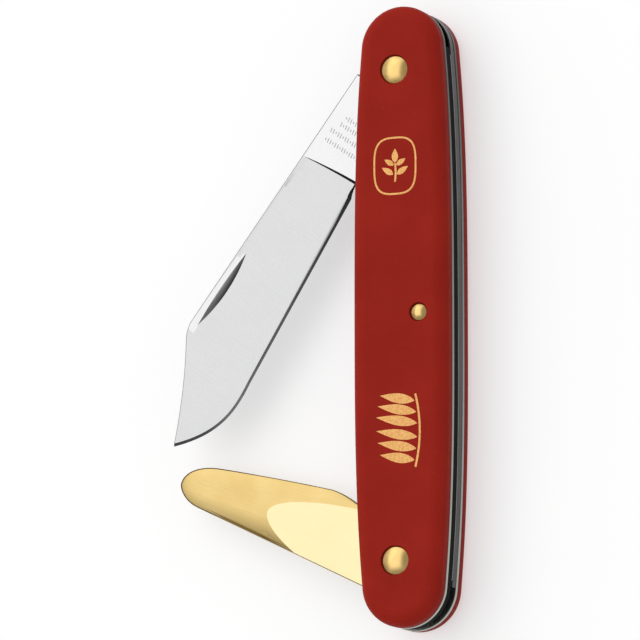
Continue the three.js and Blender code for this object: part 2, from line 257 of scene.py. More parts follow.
def new_piece(name, vertices, faces, body, materials, replaces=(), sharp_angle=30):
    """A mesh object from vertices in mm, riding on a body."""
    mesh = bpy.data.meshes.new(name)
    mesh.from_pydata([Vector(v) * MM for v in vertices], [], faces)
    tidy = bmesh.new()
    tidy.from_mesh(mesh)
    bmesh.ops.recalc_face_normals(tidy, faces=tidy.faces)
    tidy.to_mesh(mesh)
    tidy.free()
    piece = bpy.data.objects.new(name, mesh)
    bpy.context.scene.collection.objects.link(piece)
    for material in materials:
        mesh.materials.append(material)
    mesh.shade_smooth()
    mesh.set_sharp_from_angle(angle=math.radians(sharp_angle))
    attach(piece, body)
    if replaces:
        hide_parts(*replaces)
    return piece


def flatten_caps(piece):
    """Faces that look straight up or down are shaded flat, so that long triangles don't show."""
    for face in piece.data.polygons:
        if abs(face.normal.z) > 0.99999:
            face.use_smooth = False


class Body:
    """Vertices and faces of one or more closed solids in mm, gathered for one piece."""

    def __init__(self):
        self.vertices = []
        self.faces = []

    def ring(self, outline, height):
        start = len(self.vertices)
        self.vertices += [(x, y, height) for x, y in outline]
        return list(range(start, len(self.vertices)))

    def wall(self, low, high):
        for i in range(len(low)):
            j = (i + 1) % len(low)
            self.faces.append((low[i], low[j], high[j], high[i]))

    def cap(self, rings):
        """Triangles over the first ring, with the others as holes."""
        indices = [i for ring in rings for i in ring]
        loops = [[Vector(self.vertices[i]) for i in ring] for ring in rings]
        for triangle in tessellate_polygon(loops):
            self.faces.append(tuple(indices[i] for i in triangle))

    def stack(self, layers, holes=()):
        """A solid through (outline, height) layers, with holes given as lists of such layers."""
        stacks = [[self.ring(outline, height) for outline, height in s] for s in (layers, *holes)]
        for rings in stacks:
            for low, high in zip(rings, rings[1:]):
                self.wall(low, high)
        self.cap([rings[0] for rings in stacks])
        self.cap([rings[-1] for rings in stacks])

    def place(self, side):
        """Local heights are from the middle of the divider. The rear half is turned about X."""
        self.vertices = [(x, side * y, MIDDLE_Z + side * z) for x, y, z in self.vertices]


def broken_edge_layers(outline, low, high, edge=EDGE_BREAK):
    inner = inset_loop(outline, edge)
    return [(inner, low), (outline, low + edge), (outline, high - edge), (inner, high)]


def plate_piece(name, outline, low, high, pins, side, material, node, edge=EDGE_BREAK):
    """A flat plate with broken edges and round pin holes."""
    body = Body()
    holes = [
        [(circle(x, y, radius), low), (circle(x, y, radius), high)] for x, y, radius in pins
    ]
    body.stack(broken_edge_layers(outline, low, high, edge), holes)
    body.place(side)
    piece = new_piece(name, body.vertices, body.faces, "handle", [material], [node])
    flatten_caps(piece)
    return piece


def lathe_piece(name, profile, centre, side, steps, material, node):
    """A turned body about a line along Z. The profile starts and ends on the axis."""
    body = Body()
    first = len(body.vertices)
    body.vertices.append((centre[0], centre[1], profile[0][1]))
    rings = [body.ring(circle(*centre, radius, steps), height) for radius, height in profile[1:-1]]
    last = len(body.vertices)
    body.vertices.append((centre[0], centre[1], profile[-1][1]))
    for low, high in zip(rings, rings[1:]):
        body.wall(low, high)
    for ring, tip in ((rings[0], first), (rings[-1], last)):
        for i in range(steps):
            body.faces.append((ring[i], ring[(i + 1) % steps], tip))
    body.place(side)
    return new_piece(name, body.vertices, body.faces, "handle", [material], [node])


def distances(points, line):
    """Distance of each point to a line of points."""
    points, line = np.array(points), np.array(line)
    best = np.full(len(points), 1e9)
    for a, b in zip(line, line[1:]):
        run = b - a
        share = np.clip(((points - a) @ run) / max(run @ run, 1e-12), 0, 1)
        gap = np.linalg.norm(points - a - share[:, None] * run, axis=1)
        best = np.minimum(best, gap)
    return best


def inside(points, loop):
    """Which points are inside a closed loop."""
    points, loop = np.array(points), np.array(loop)
    x, y = points[:, 0], points[:, 1]
    found = np.zeros(len(points), bool)
    for (ax, ay), (bx, by) in zip(loop, np.roll(loop, -1, axis=0)):
        if ay == by:
            continue
        crosses = (ay > y) != (by > y)
        found ^= crosses & (x < (bx - ax) * (y - ay) / (by - ay) + ax)
    return found


def tool_piece(
    name, outline, creases, spacing, heights, region, matrix, materials, body, node
):
    """A flat tool whose two faces follow height fields, with crisp lines along the creases.

    outline is a loop, and creases are lines inside it. heights gives the front's and the back's
    height at an array of points, and region the number of each face's material."""
    low, high = np.array(outline).min(axis=0), np.array(outline).max(axis=0)
    columns = np.arange(low[0] + spacing / 2, high[0], spacing)
    rows = np.arange(low[1] + spacing / 2, high[1], spacing)
    grid = np.array([(x, y) for x in columns for y in rows])
    hole = circle(0, 0, PIN_HOLE)
    creases = [*creases, [*hole, hole[0]]]
    clear = inside(grid, outline) & (distances(grid, [*outline, outline[0]]) > spacing / 3)
    for crease in creases:
        clear &= distances(grid, crease) > spacing / 3
    points = [Vector(p) for p in outline]
    edges = [(i, (i + 1) % len(outline)) for i in range(len(outline))]
    for crease in creases:
        start = len(points)
        points += [Vector(p) for p in crease]
        edges += [(i, i + 1) for i in range(start, len(points) - 1)]
    points += [Vector(p) for p in grid[clear]]
    flat, flat_edges, triangles, _, origins, _ = delaunay_2d_cdt(points, edges, [], 1, 1e-5)
    flat = np.array([tuple(p) for p in flat])
    centres = np.array([flat[list(t)].mean(axis=0) for t in triangles])
    drilled = inside(centres, hole)
    triangles = [tuple(t) for t, gone in zip(triangles, drilled) if not gone]
    used = sorted({i for t in triangles for i in t})
    number = {old: new for new, old in enumerate(used)}
    triangles = [tuple(number[i] for i in t) for t in triangles]
    flat = flat[used]
    front, back = heights(flat)
    count = len(flat)
    vertices = [matrix @ Vector((x, y, z)) for (x, y), z in zip(flat, front)]
    vertices += [matrix @ Vector((x, y, z)) for (x, y), z in zip(flat, back)]
    faces = list(triangles) + [tuple(i + count for i in reversed(t)) for t in triangles]
    sides = {}
    for t in triangles:
        for a, b in zip(t, (*t[1:], t[0])):
            sides[(a, b)] = sides.get((a, b), 0) + 1
    rim = [(a, b) for a, b in sides if (b, a) not in sides]
    faces += [(b, a, a + count, b + count) for a, b in rim]
    piece = new_piece(name, vertices, faces, body, materials, [node])
    creased = {
        frozenset(number.get(i, -1) for i in edge)
        for edge, origin in zip(flat_edges, origins)
        if origin
    }
    mesh = piece.data
    for edge in mesh.edges:
        if frozenset(i % count for i in edge.vertices) in creased:
            edge.use_edge_sharp = True
    local = np.vstack([np.column_stack([flat, front]), np.column_stack([flat, back])])
    centres = np.array([local[list(f)].mean(axis=0) for f in faces])
    for face, index in zip(mesh.polygons, region(centres)):
        face.material_index = int(index)
    return piece


def tool_matrix(angle, side, pivot):
    """From a tool's frame, along its length, towards its edge and out of its half, to the world."""
    along = Vector((-math.sin(angle), -side * math.cos(angle), 0))
    across = Vector((math.cos(angle), -side * math.sin(angle), 0))
    out = Vector((0, 0, side))
    turn = Matrix((along, across, out)).transposed().to_4x4()
    return Matrix.Translation(Vector(pivot)) @ turn


# ---------------------------------------------------------------- materials

class Finish:
    """A procedural material. Positions are in mm, from a point and along a direction in the plane."""

    def __init__(self, name, roughness, metallic=0.0, origin=(0, 0, 0), turn=0.0):
        self.material = bpy.data.materials.new(name)
        self.material.use_nodes = True
        self.tree = self.material.node_tree
        self.shader = self.tree.nodes["Principled BSDF"]
        self.shader.inputs["Roughness"].default_value = roughness
        self.shader.inputs["Metallic"].default_value = metallic
        place = self.node("ShaderNodeTexCoord").outputs["Object"]
        frame_links = {
            "Vector": place,
            "Location": Vector(origin) * MM,
            "Rotation": (0, 0, turn),
            "Scale": (MM, MM, MM),
        }
        mapping = self.node("ShaderNodeMapping", frame_links, vector_type="TEXTURE")
        self.place = mapping.outputs["Vector"]

    def node(self, kind, links=(), **settings):
        made = self.tree.nodes.new(kind)
        for key, value in settings.items():
            setattr(made, key, value)
        for key, value in dict(links).items():
            socket = made.inputs[key]
            if isinstance(value, bpy.types.NodeSocket):
                self.tree.links.new(value, socket)
            else:
                socket.default_value = value
        return made

    def noise(self, stretch, detail=2.0, rough=0.5):
        """Noise with about that many waves per mm along each axis."""
        scaled = self.node("ShaderNodeMapping", {"Vector": self.place, "Scale": stretch})
        links = {"Vector": scaled.outputs["Vector"], "Scale": 1.0, "Detail": detail, "Roughness": rough}
        return self.node("ShaderNodeTexNoise", links).outputs["Fac"]

    def spread(self, value, low, high, to_low=0.0, to_high=1.0):
        """The value's stretch from low to high, spread over another and held at its ends."""
        links = {"Value": value, "From Min": low, "From Max": high, "To Min": to_low, "To Max": to_high}
        return self.node("ShaderNodeMapRange", links).outputs["Result"]

    def math(self, operation, a, b):
        return self.node("ShaderNodeMath", {0: a, 1: b}, operation=operation).outputs[0]

    def mix(self, share, a, b):
        links = {"Factor": share, 6: a, 7: b}
        made = self.node("ShaderNodeMix", (), data_type="RGBA")
        for key, value in links.items():
            socket = made.inputs[0] if key == "Factor" else made.inputs[key]
            if isinstance(value, bpy.types.NodeSocket):
                self.tree.links.new(value, socket)
            else:
                socket.default_value = value
        return made.outputs[2]

    def axis(self, index):
        """One coordinate, in mm."""
        return self.node("ShaderNodeSeparateXYZ", {0: self.place}).outputs[index]

    def colour(self, socket):
        self.tree.links.new(socket, self.shader.inputs["Base Color"])

    def roughness(self, socket):
        self.tree.links.new(socket, self.shader.inputs["Roughness"])

    def bump(self, height, depth):
        """Relief of that depth, in mm."""
        links = {"Strength": 1.0, "Distance": depth * MM, "Height": height}
        made = self.node("ShaderNodeBump", links)
        self.tree.links.new(made.outputs["Normal"], self.shader.inputs["Normal"])


def srgb(red, green, blue):
    """A colour as it is seen on a screen, from 0 to 255, as light."""
    shares = [value / 255 for value in (red, green, blue)]
    light = [((v + 0.055) / 1.055) ** 2.4 if v > 0.04 else v / 12.92 for v in shares]
    return (*light, 1.0)


def nylon_finish():
    """Moulded nylon: matt, finely grained, with painted shade darkening its side walls towards the base,
    and pale specks near one end.
    """
    finish = Finish("red_nylon", 0.42)
    finish.shader.inputs["Specular IOR Level"].default_value = 0.02
    cloud = finish.noise((0.1, 0.1, 0.1), detail=3)
    dark, light = (0.318, 0.0182, 0.0112, 1), (0.354, 0.0212, 0.013, 1)
    base = finish.mix(finish.spread(cloud, 0.35, 0.65), dark, light)
    grain = finish.noise((4, 4, 4), detail=2)
    base = finish.mix(finish.spread(grain, 0.45, 0.8, 0, 0.2), base, (0.42, 0.035, 0.02, 1))
    near_end = finish.spread(finish.axis(1), -40, -49, 0.0, 0.1)
    patch = finish.spread(finish.noise((0.22, 0.22, 0.22), detail=1), 0.5, 0.62, 0.0, 1.6)
    least = finish.math("SUBTRACT", 0.8, finish.math("MULTIPLY", near_end, patch))
    speck = finish.math("GREATER_THAN", finish.noise((3.8, 3.8, 3.8), detail=1.5), least)
    base = finish.mix(finish.math("MULTIPLY", speck, 0.3), base, srgb(226, 170, 160))
    # Painted shade: the scale's side walls are painted darker towards its base, to near black red.
    height = finish.math("SUBTRACT", finish.axis(2), MIDDLE_Z)
    low = finish.spread(finish.math("ABSOLUTE", height, 0), SCALE_TOP - 0.8, SCALE_BASE, 0.0, 0.5)
    finish.colour(finish.mix(low, base, (0.07, 0.008, 0.006, 1)))
    finish.roughness(finish.spread(finish.noise((1.1, 1.1, 1.1), detail=3), 0.3, 0.7, 0.36, 0.5))
    waves = finish.noise((1.6, 1.6, 1.6), detail=2)
    relief = finish.math("ADD", finish.math("MULTIPLY", grain, 0.6), waves)
    finish.bump(relief, 0.012)
    return finish.material


def metal_finish(name, dark, light, rough, lines, depth, shade=None, origin=(0, 0, 0), turn=0.0):
    """Metal with fine lines: there are few waves along them and many across them.

    shade is painted shade: an axis, where along it the metal starts and ends to darken, and by how much."""
    finish = Finish(name, rough, 1.0, origin, turn)
    brush = finish.noise(lines, detail=3, rough=0.6)
    cloud = finish.noise((0.15, 0.15, 0.15), detail=2)
    share = finish.math("ADD", finish.math("MULTIPLY", brush, 0.6), finish.math("MULTIPLY", cloud, 0.4))
    colour = finish.mix(finish.spread(share, 0.35, 0.65), (*dark, 1), (*light, 1))
    if shade:
        axis, start, end, amount = shade
        painted_darkening = finish.spread(finish.axis(axis), start, end, 0.0, amount)
        colour = finish.mix(painted_darkening, colour, (0, 0, 0, 1))
    finish.colour(colour)
    finish.roughness(finish.spread(brush, 0.3, 0.7, rough * 0.85, rough * 1.2))
    finish.bump(brush, depth)
    return finish.material


def painted_shade_spring_finish():
    """Near-black spring steel: painted shade and dark reflection on the front spring's back."""
    finish = Finish("dark_spring", 0.6)
    finish.shader.inputs["Specular IOR Level"].default_value = 0.02
    grain = finish.noise((3, 0.25, 3), detail=3)
    finish.colour(finish.mix(grain, (0.006, 0.007, 0.006, 1), (0.014, 0.016, 0.014, 1)))
    finish.bump(grain, 0.001)
    return finish.material


def foil_finish():
    """Gold foil stamped into the nylon, a little worn."""
    finish = Finish("gold_foil", 0.45, 0.35)
    worn = finish.noise((4, 4, 4), detail=3)
    finish.colour(finish.mix(finish.spread(worn, 0.35, 0.6), srgb(214, 150, 74), srgb(242, 186, 112)))
    finish.roughness(finish.spread(worn, 0.3, 0.7, 0.35, 0.55))
    return finish.material


def etch_finish():
    """Grey etched marks."""
    finish = Finish("etched_mark", 0.6, 0.3)
    grain = finish.noise((9, 9, 9), detail=2)
    finish.colour(finish.mix(finish.spread(grain, 0.35, 0.65), srgb(140, 140, 142), srgb(190, 190, 192)))
    return finish.material


blade_pivot = (PIVOT.x, PIVOT.y, (BLADE_LOW.z + BLADE_HIGH.z) / 2)
lifter_pivot = (PIVOT.x, -PIVOT.y, 2 * MIDDLE_Z - blade_pivot[2])
on_blade = {"origin": blade_pivot, "turn": -math.pi / 2 - BLADE_ANGLE}
on_lifter = {"origin": lifter_pivot, "turn": math.pi / 2 + LIFTER_ANGLE}

NYLON = nylon_finish()
FOIL = foil_finish()
ETCH = etch_finish()
BLADE_GROUND = metal_finish(
    "blade_ground", (0.475, 0.475, 0.48), (0.49, 0.49, 0.495), 0.28, (5, 0.25, 0.25), 0.00006, **on_blade
)
BLADE_FLAT = metal_finish(
    "blade_polished", (0.55, 0.55, 0.555), (0.57, 0.57, 0.575), 0.2, (0.3, 4, 0.3), 0.00006, **on_blade
)
# Painted shade: near-black steel, darker still towards the heel. It stands in for dark reflections on
# the bevel, the broken edges and the plunge round.
BLADE_BEVEL = metal_finish(
    "blade_bevel", (0.11, 0.11, 0.115), (0.15, 0.15, 0.155), 0.26, (6, 0.4, 0.4), 0.0003,
    shade=(0, 58, 20, 0.75), **on_blade
)
# Painted shade: the nick's grey darkens to near black across it, towards its side nearer the edge.
BLADE_NICK = metal_finish(
    "blade_nick", (0.26, 0.26, 0.265), (0.36, 0.36, 0.365), 0.3, (0.4, 6, 0.4), 0.0003,
    shade=(1, -7.5, -6.3, 0.88), **on_blade
)
LIFTER_FLAT = metal_finish(
    "lifter_polished", (0.65, 0.55, 0.31), (0.68, 0.58, 0.34), 0.22, (0.3, 4, 0.3), 0.00006, **on_lifter
)
# Painted shade: the spoon grind darkens towards the lifter's back edge.
LIFTER_GROUND = metal_finish(
    "lifter_ground", (0.54, 0.38, 0.14), (0.63, 0.48, 0.21), 0.34, (0.4, 5, 0.4), 0.0012,
    shade=(1, 0.2, 3.6, 0.45), **on_lifter
)
# Painted shade: the lifter's broken edges are a darker brass.
LIFTER_EDGE = metal_finish(
    "lifter_edge", (0.25, 0.17, 0.07), (0.32, 0.22, 0.1), 0.4, (2, 2, 0.4), 0.001, **on_lifter
)
# Painted shade and reflection: the liners darken along Y, towards the end with the blade's pivot.
LINER_STEEL = metal_finish(
    "liner_steel", (0.40, 0.41, 0.37), (0.48, 0.49, 0.45), 0.3, (3, 0.3, 3), 0.0008,
    shade=(1, -42, 38, 0.85)
)
DIVIDER_STEEL = metal_finish(
    "divider_steel", (0.18, 0.19, 0.18), (0.24, 0.25, 0.24), 0.3, (3, 0.3, 3), 0.0008
)
SPRING_STEEL = {
    "blade": painted_shade_spring_finish(),
    # Painted dark reflection: near-black steel on the rear spring's back.
    "lifter": metal_finish(
        "grey_spring", (0.028, 0.028, 0.03), (0.05, 0.05, 0.055), 0.26, (3, 0.25, 3), 0.0008
    ),
}
BRASS = metal_finish(
    "rivet_brass", (0.64, 0.43, 0.15), (0.70, 0.49, 0.20), 0.22, (1.5, 1.5, 1.5), 0.0003
)


# ---------------------------------------------------------------- handle

RIVETS = {
    "blade": (PIVOT.x, PIVOT.y, CAP_RADIUS, PIN_HOLE, CAP_HIGH.z - MIDDLE_Z),
    "lifter": (PIVOT.x, -PIVOT.y, CAP_RADIUS, PIN_HOLE, CAP_HIGH.z - MIDDLE_Z),
    "spring": (SPRING_PIN.x, 0, SPRING_CAP_RADIUS, SPRING_PIN_HOLE, SPRING_CAP_HIGH.z - MIDDLE_Z),
}
CAP_THICKNESS = 0.6  # at its rim
DOME_POWER = 2.2  # 2 would be a round dome, and more is flatter at the top
DOME_STEPS = 16
RIM_CHAMFER = 0.1  # around the rivet heads, in the scale
SHOULDER_STEPS = 14


def scale_piece(name, side, node):
    layers = [(handle_outline(EDGE_BREAK), SCALE_BASE), (handle_outline(), SCALE_BASE + EDGE_BREAK)]
    for i in range(SHOULDER_STEPS + 1):
        angle = math.pi / 2 * i / SHOULDER_STEPS
        inset = SHOULDER_WIDTH * (1 - math.cos(angle))
        layers.append((handle_outline(inset), SCALE_TOP - SHOULDER_DEPTH * (1 - math.sin(angle))))
    holes = []
    for x, y, cap, _, _ in RIVETS.values():
        bore = circle(x, side * y, cap + CAP_PLAY, 64)
        mouth = circle(x, side * y, cap + CAP_PLAY + RIM_CHAMFER, 64)
        holes.append([(bore, SCALE_BASE), (bore, SCALE_TOP - RIM_CHAMFER), (mouth, SCALE_TOP)])
    body = Body()
    body.stack(layers, holes)
    body.place(side)
    piece = new_piece(name, body.vertices, body.faces, "handle", [NYLON], [node])
    flatten_caps(piece)
    return piece


def rivet_head(name, side, rivet, node):
    """A domed head: its rim is a little below the scale's face and its top stands above it."""
    x, y, radius, _, top = rivet
    rim = SCALE_TOP - CAP_RIM_DROP
    profile = [(0, rim - CAP_THICKNESS), (radius, rim - CAP_THICKNESS)]
    for i in range(DOME_STEPS + 1):
        share = 1 - i / DOME_STEPS
        profile.append((radius * share, top - (top - rim) * share**DOME_POWER))
    return lathe_piece(name, profile, (x, side * y), side, 64, BRASS, node)


def spring_outline():
    """The front half's spring: a free end by the tang, a boss, and an end that fills the handle."""
    top = SPRING_TOP
    run_x = PIVOT.x + TANG_RADIUS + TANG_PLAY
    boss_x, boss_y, taper_y = 1.7, 4, 15
    end_reach, end_depth, end_round = 3.2, 8.5, 1.6
    end_x, end_y = PIVOT.x - end_reach, boss_y - PIVOT.y
    edge = handle_outline(SPRING_INSET)
    back = [p for p in edge if p[0] > 0 and -PIVOT.y < p[1] < top]
    back = sorted(back, key=lambda p: p[1])
    bottom = [p for p in edge if p[1] <= -PIVOT.y and p[0] > end_x]
    bottom = sorted(bottom, key=lambda p: math.atan2(p[1] - end_y, p[0]))
    path = Path(run_x, top)
    path.line(run_x, taper_y)
    path.curve((run_x, (boss_y + taper_y) / 2), (boss_x, (boss_y + taper_y) / 2), (boss_x, boss_y))
    path.line(boss_x, end_y + end_depth)
    path.curve((boss_x, end_y), (end_x + end_round, end_y))
    path.curve((end_x, end_y), (end_x, end_y - end_reach), steps=12)
    path.points += bottom + back
    path.line(outline_x(edge, top), top)
    return clean_loop(path.points)


def outline_x(edge, y):
    """Where the handle's back edge is at that height."""
    right = sorted((p for p in edge if p[0] > 0), key=lambda p: p[1])
    for a, b in zip(right, right[1:]):
        if a[1] <= y <= b[1]:
            return a[0] + (b[0] - a[0]) * (y - a[1]) / (b[1] - a[1])
    return right[-1][0]


def divider_outline():
    """The handle's outline, cut off square beside the tangs, with its corners taken off."""
    rows = []
    for x, y in handle_outline():
        height = min(abs(y), SPRING_TOP)
        into = max(0, 1 - (SPRING_TOP - height) / DIVIDER_CORNER_LENGTH)
        reach = HALF_WIDTH - (HALF_WIDTH - HANDLE_END_RADIUS + DIVIDER_CORNER_WIDTH) * into**2
        rows.append((max(-reach, min(reach, x)), math.copysign(height, y)))
    return clean_loop(rows)


PINS = [(x, y, hole) for x, y, _, hole, _ in RIVETS.values()]
for side, half, tool in ((1, "front", "blade"), (-1, "rear", "lifter")):
    scale_piece(f"scale_{half}", side, f"{half}_scale")
    plate_piece(
        f"liner_{half}", handle_outline(), LINER_LOW.z - MIDDLE_Z, LINER_HIGH.z - MIDDLE_Z, PINS,
        side, LINER_STEEL, f"{half}_liner",
    )
    plate_piece(
        f"spring_{tool}", spring_outline(), SPRING_LOW.z - MIDDLE_Z, SPRING_HIGH.z - MIDDLE_Z,
        PINS[1:], side, SPRING_STEEL[tool], f"{tool}_spring", edge=SPRING_EDGE,
    )
    for rivet, place in RIVETS.items():
        rivet_head(f"rivet_{half}_{rivet}", side, place, f"{half}_{rivet}_rivet_cap")
plate_piece(
    "divider", divider_outline(), DIVIDER_LOW.z - MIDDLE_Z, DIVIDER_HIGH.z - MIDDLE_Z, PINS,
    1, DIVIDER_STEEL, "divider_plate", edge=DIVIDER_EDGE,
)
for pin in ("blade_pivot_pin", "lifter_pivot_pin", "spring_pin"):
    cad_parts[pin].data.materials.clear()
    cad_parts[pin].data.materials.append(BRASS)


# ---------------------------------------------------------------- blade

def spine_height(s):
    return SPINE_AT_PIVOT + (SPINE_AT_CLIP - SPINE_AT_PIVOT) / (BLADE_LENGTH - CLIP_LENGTH) * s


def tang_start(back_height):
    """Up from the tang's round to the back, along the shoulder that stops the tool when open."""
    on_round = math.sqrt(TANG_RADIUS**2 - STOP_REACH**2)
    return Path(STOP_REACH, -on_round).line(STOP_REACH, -back_height)


def tang_end(path):
    front, shoulder = math.pi / 3, 2 * math.pi - math.acos(STOP_REACH / TANG_RADIUS)
    path.line(TANG_RADIUS * math.cos(front), TANG_RADIUS * math.sin(front))
    path.arc(0, 0, TANG_RADIUS, front, shoulder, steps=48)
    return clean_loop(path.points)


def edge_line():
    """The cutting edge, from the tip back to the heel."""
    belly = BLADE_LENGTH - BELLY_LENGTH
    path = Path(BLADE_LENGTH, 0)
    far, near = (BLADE_LENGTH - BELLY_FAR, BELLY_DEPTH), (belly + BELLY_NEAR, BELLY_DEPTH)
    path.curve(far, near, (belly, EDGE_FAR), steps=48)
    path.line(EDGE_START, EDGE_NEAR)
    path.curve(((RICASSO_LENGTH + EDGE_START) / 2, HEEL_DEPTH), (RICASSO_LENGTH, HEEL_DEPTH), steps=12)
    return path.points


def blade_outline():
    clip = BLADE_LENGTH - CLIP_LENGTH
    clip_top = SPINE_AT_CLIP - CLIP_DROP
    path = tang_start(spine_height(STOP_REACH))
    path.line(clip - CLIP_ROUND, -spine_height(clip - CLIP_ROUND))
    path.curve((clip, -SPINE_AT_CLIP), (clip + CLIP_ROUND, -clip_top), steps=8)
    path.curve((clip + CLIP_LENGTH / 2, 2 * CLIP_HOLLOW - clip_top / 2), (BLADE_LENGTH, 0), steps=32)
    path.points += edge_line()[1:]
    return tang_end(path)


def plunge_line(t):
    """Where the grind starts along the blade: nearly square to it, bending towards the tip."""
    at, lean, bend = PLUNGE_LINE
    return at + lean * t + bend * t**2


def plunge_run(t):
    """Width of the round along that line: it tapers away towards the spine."""
    return PLUNGE_RUN * np.clip((t - PLUNGE_END) / (HEEL_DEPTH - PLUNGE_END), 0, 1) ** 0.7


def bevel_width(s):
    """The honed bevel is widest at the heel."""
    past = s - RICASSO_LENGTH
    full = BEVEL_WIDTH + BEVEL_HEEL_WIDTH * np.exp(-past / BEVEL_HEEL_RUN)
    return full * np.clip(past / BEVEL_LEAD, 0.3, 1)


def blade_lines():
    """The crisp lines on the blade: broken edges, start of the grind, bevel and nail nick."""
    outline = blade_outline()
    start = [(plunge_line(t), t) for t in np.linspace(-SPINE_AT_CLIP, HEEL_DEPTH + 0.3, 30)]
    end = [(s + plunge_run(t), t) for s, t in start if plunge_run(t) > 0.1]
    edge = edge_line()
    widths = bevel_width(np.array(edge)[:, :1])
    bevel = [p for p in offset_line(edge, widths) if p[0] > RICASSO_LENGTH]
    lines = [start, end, bevel, closed(inset_loop(outline, SPINE_BREAK))]
    lines += [closed(nick_side(0) + nick_side(1)[::-1]), nick_side(NICK_FLOOR)]
    return [clip_to(line, outline) for line in lines]


def closed(points):
    return [*points, points[0]]


def clip_to(line, outline):
    kept = inside(line, outline)
    return [p for p, good in zip(line, kept) if good]


def offset_line(line, distance):
    """An open line moved to the right of its direction."""
    points = np.array(line)
    ahead = np.gradient(points, axis=0)
    ahead /= np.linalg.norm(ahead, axis=1, keepdims=True)
    return [tuple(p) for p in points + np.stack([-ahead[:, 1], ahead[:, 0]], axis=1) * distance]


NICK_FLOOR = 0.9  # how far across the nick its deepest line is


def nick_line(s):
    """The straight line between the nick's ends, and how far its sides bulge, from 0 to 1."""
    along = np.clip((s - NICK_NEAR[0]) / (NICK_FAR[0] - NICK_NEAR[0]), 0, 1)
    return NICK_NEAR[1] + (NICK_FAR[1] - NICK_NEAR[1]) * along, 4 * along * (1 - along)


def nick_side(share, steps=24):
    """A line through the nick, from its side near the spine at 0 to the other side at 1."""
    s = np.linspace(NICK_NEAR[0], NICK_FAR[0], steps + 1)
    line, bulge = nick_line(s)
    t = line + bulge * (share * (NICK_BACK + NICK_BULGE) - NICK_BACK)
    return list(zip(s.tolist(), t.tolist()))


def across_nick(s, t):
    """How far across the nick a point is: under 0 or over 1 is outside it."""
    line, bulge = nick_line(s)
    wide = np.maximum((NICK_BACK + NICK_BULGE) * bulge, 1e-3)
    return np.where(bulge > 1e-3, (t - line + NICK_BACK * bulge) / wide, -1), bulge


def blade_heights(points):
    s, t = points[:, 0], points[:, 1]
    half = TOOL_THICKNESS / 2
    width = SPINE_AT_CLIP + BELLY_DEPTH
    ground = half - (half - EDGE_THICKNESS / 2) * (t + SPINE_AT_CLIP) / width
    into = np.clip((s - plunge_line(t)) / np.maximum(plunge_run(t), 0.02), 0, 1)
    height = half - (half - np.minimum(ground, half)) * (1 - (1 - into) ** 2)
    edge = edge_line()
    near = distances(points, edge)
    bevelled = (s > RICASSO_LENGTH) & (near < bevel_width(s))
    honed = CUTTING_EDGE + (height - CUTTING_EDGE) * near / bevel_width(s)
    height = np.where(bevelled, np.minimum(honed, height), height)
    rim = distances(points, closed(blade_outline())) < SPINE_BREAK / 3
    height = np.where(rim & (near > BEVEL_WIDTH / 2), height - SPINE_BREAK, height)
    return height - nick_sink(s, t), -height


def nick_sink(s, t):
    """Depth of the nail nick: it falls ever steeper from one side to a steep rise at the other."""
    across, bulge = across_nick(s, t)
    sink = np.where(across < NICK_FLOOR, (across / NICK_FLOOR) ** 2, (1 - across) / (1 - NICK_FLOOR))
    return np.where((across > 0) & (across < 1), sink * NICK_DEPTH * bulge, 0)


def blade_region(centres):
    """0 is ground, 1 is left polished, 2 is the honed bevel and the other edges with painted shade, 3 is
    the nick.
    """
    s, t, z = centres.T
    across, _ = across_nick(s, t)
    nick = (across > 0) & (across < 1) & (z > 0)
    strip = (s > NICK_NEAR[0] + STRIP_SLANT * (t - NICK_NEAR[1])) & (s < BLADE_LENGTH - CLIP_LENGTH)
    polished = (s < plunge_line(t)) | (strip & (t < nick_line(s)[0]) & (z > 0))
    # Painted shade: the bevel, the broken edges and the plunge round all get the near-black bevel
    # finish.
    dark = (s > RICASSO_LENGTH) & (distances(centres[:, :2], edge_line()) < bevel_width(s))
    dark |= distances(centres[:, :2], closed(blade_outline())) < SPINE_BREAK
    past = s - plunge_line(t)
    dark |= (past > 0) & (past < plunge_run(t)) & (plunge_run(t) > 0.1)
    return np.select([dark, nick, polished], [2, 3, 1], 0)


BLADE_MATRIX = tool_matrix(BLADE_ANGLE, 1, blade_pivot)
tool_piece(
    "blade", blade_outline(), blade_lines(), 0.6, blade_heights, blade_region, BLADE_MATRIX,
    [BLADE_GROUND, BLADE_FLAT, BLADE_BEVEL, BLADE_NICK], "blade", "grafting_blade",
)


# ---------------------------------------------------------------- bark lifter

def lifter_outline():
    tongue = LIFTER_LENGTH - LIFTER_TIP_LENGTH
    fall = (LIFTER_BACK - LIFTER_TONGUE_BACK) / tongue
    front_x = LIFTER_LENGTH - LIFTER_TIP_ROUND
    front_y = LIFTER_TONGUE_FRONT
    shoulder_x, shoulder_y = LIFTER_SHOULDER
    middle = blend((front_x, front_y), LIFTER_SHOULDER, 0.5)
    path = tang_start(LIFTER_BACK - fall * STOP_REACH)
    path.line(tongue, -LIFTER_TONGUE_BACK)
    path.curve(
        (tongue + LIFTER_TIP_REACH, fall * LIFTER_TIP_REACH - LIFTER_TONGUE_BACK),
        (LIFTER_LENGTH, -LIFTER_TIP_OFFSET), (LIFTER_LENGTH, LIFTER_TIP_OFFSET),
    )
    corner = (front_x + LIFTER_TIP_ROUND / 2, 0.9 * front_y)
    path.curve((LIFTER_LENGTH, 0.6 * front_y), corner, (front_x, front_y))
    path.curve((middle[0], middle[1] + LIFTER_FRONT_BULGE), LIFTER_SHOULDER)
    path.curve((shoulder_x - LIFTER_SHOULDER_ROUND, shoulder_y), LIFTER_NECK, steps=12)
    return tang_end(path)


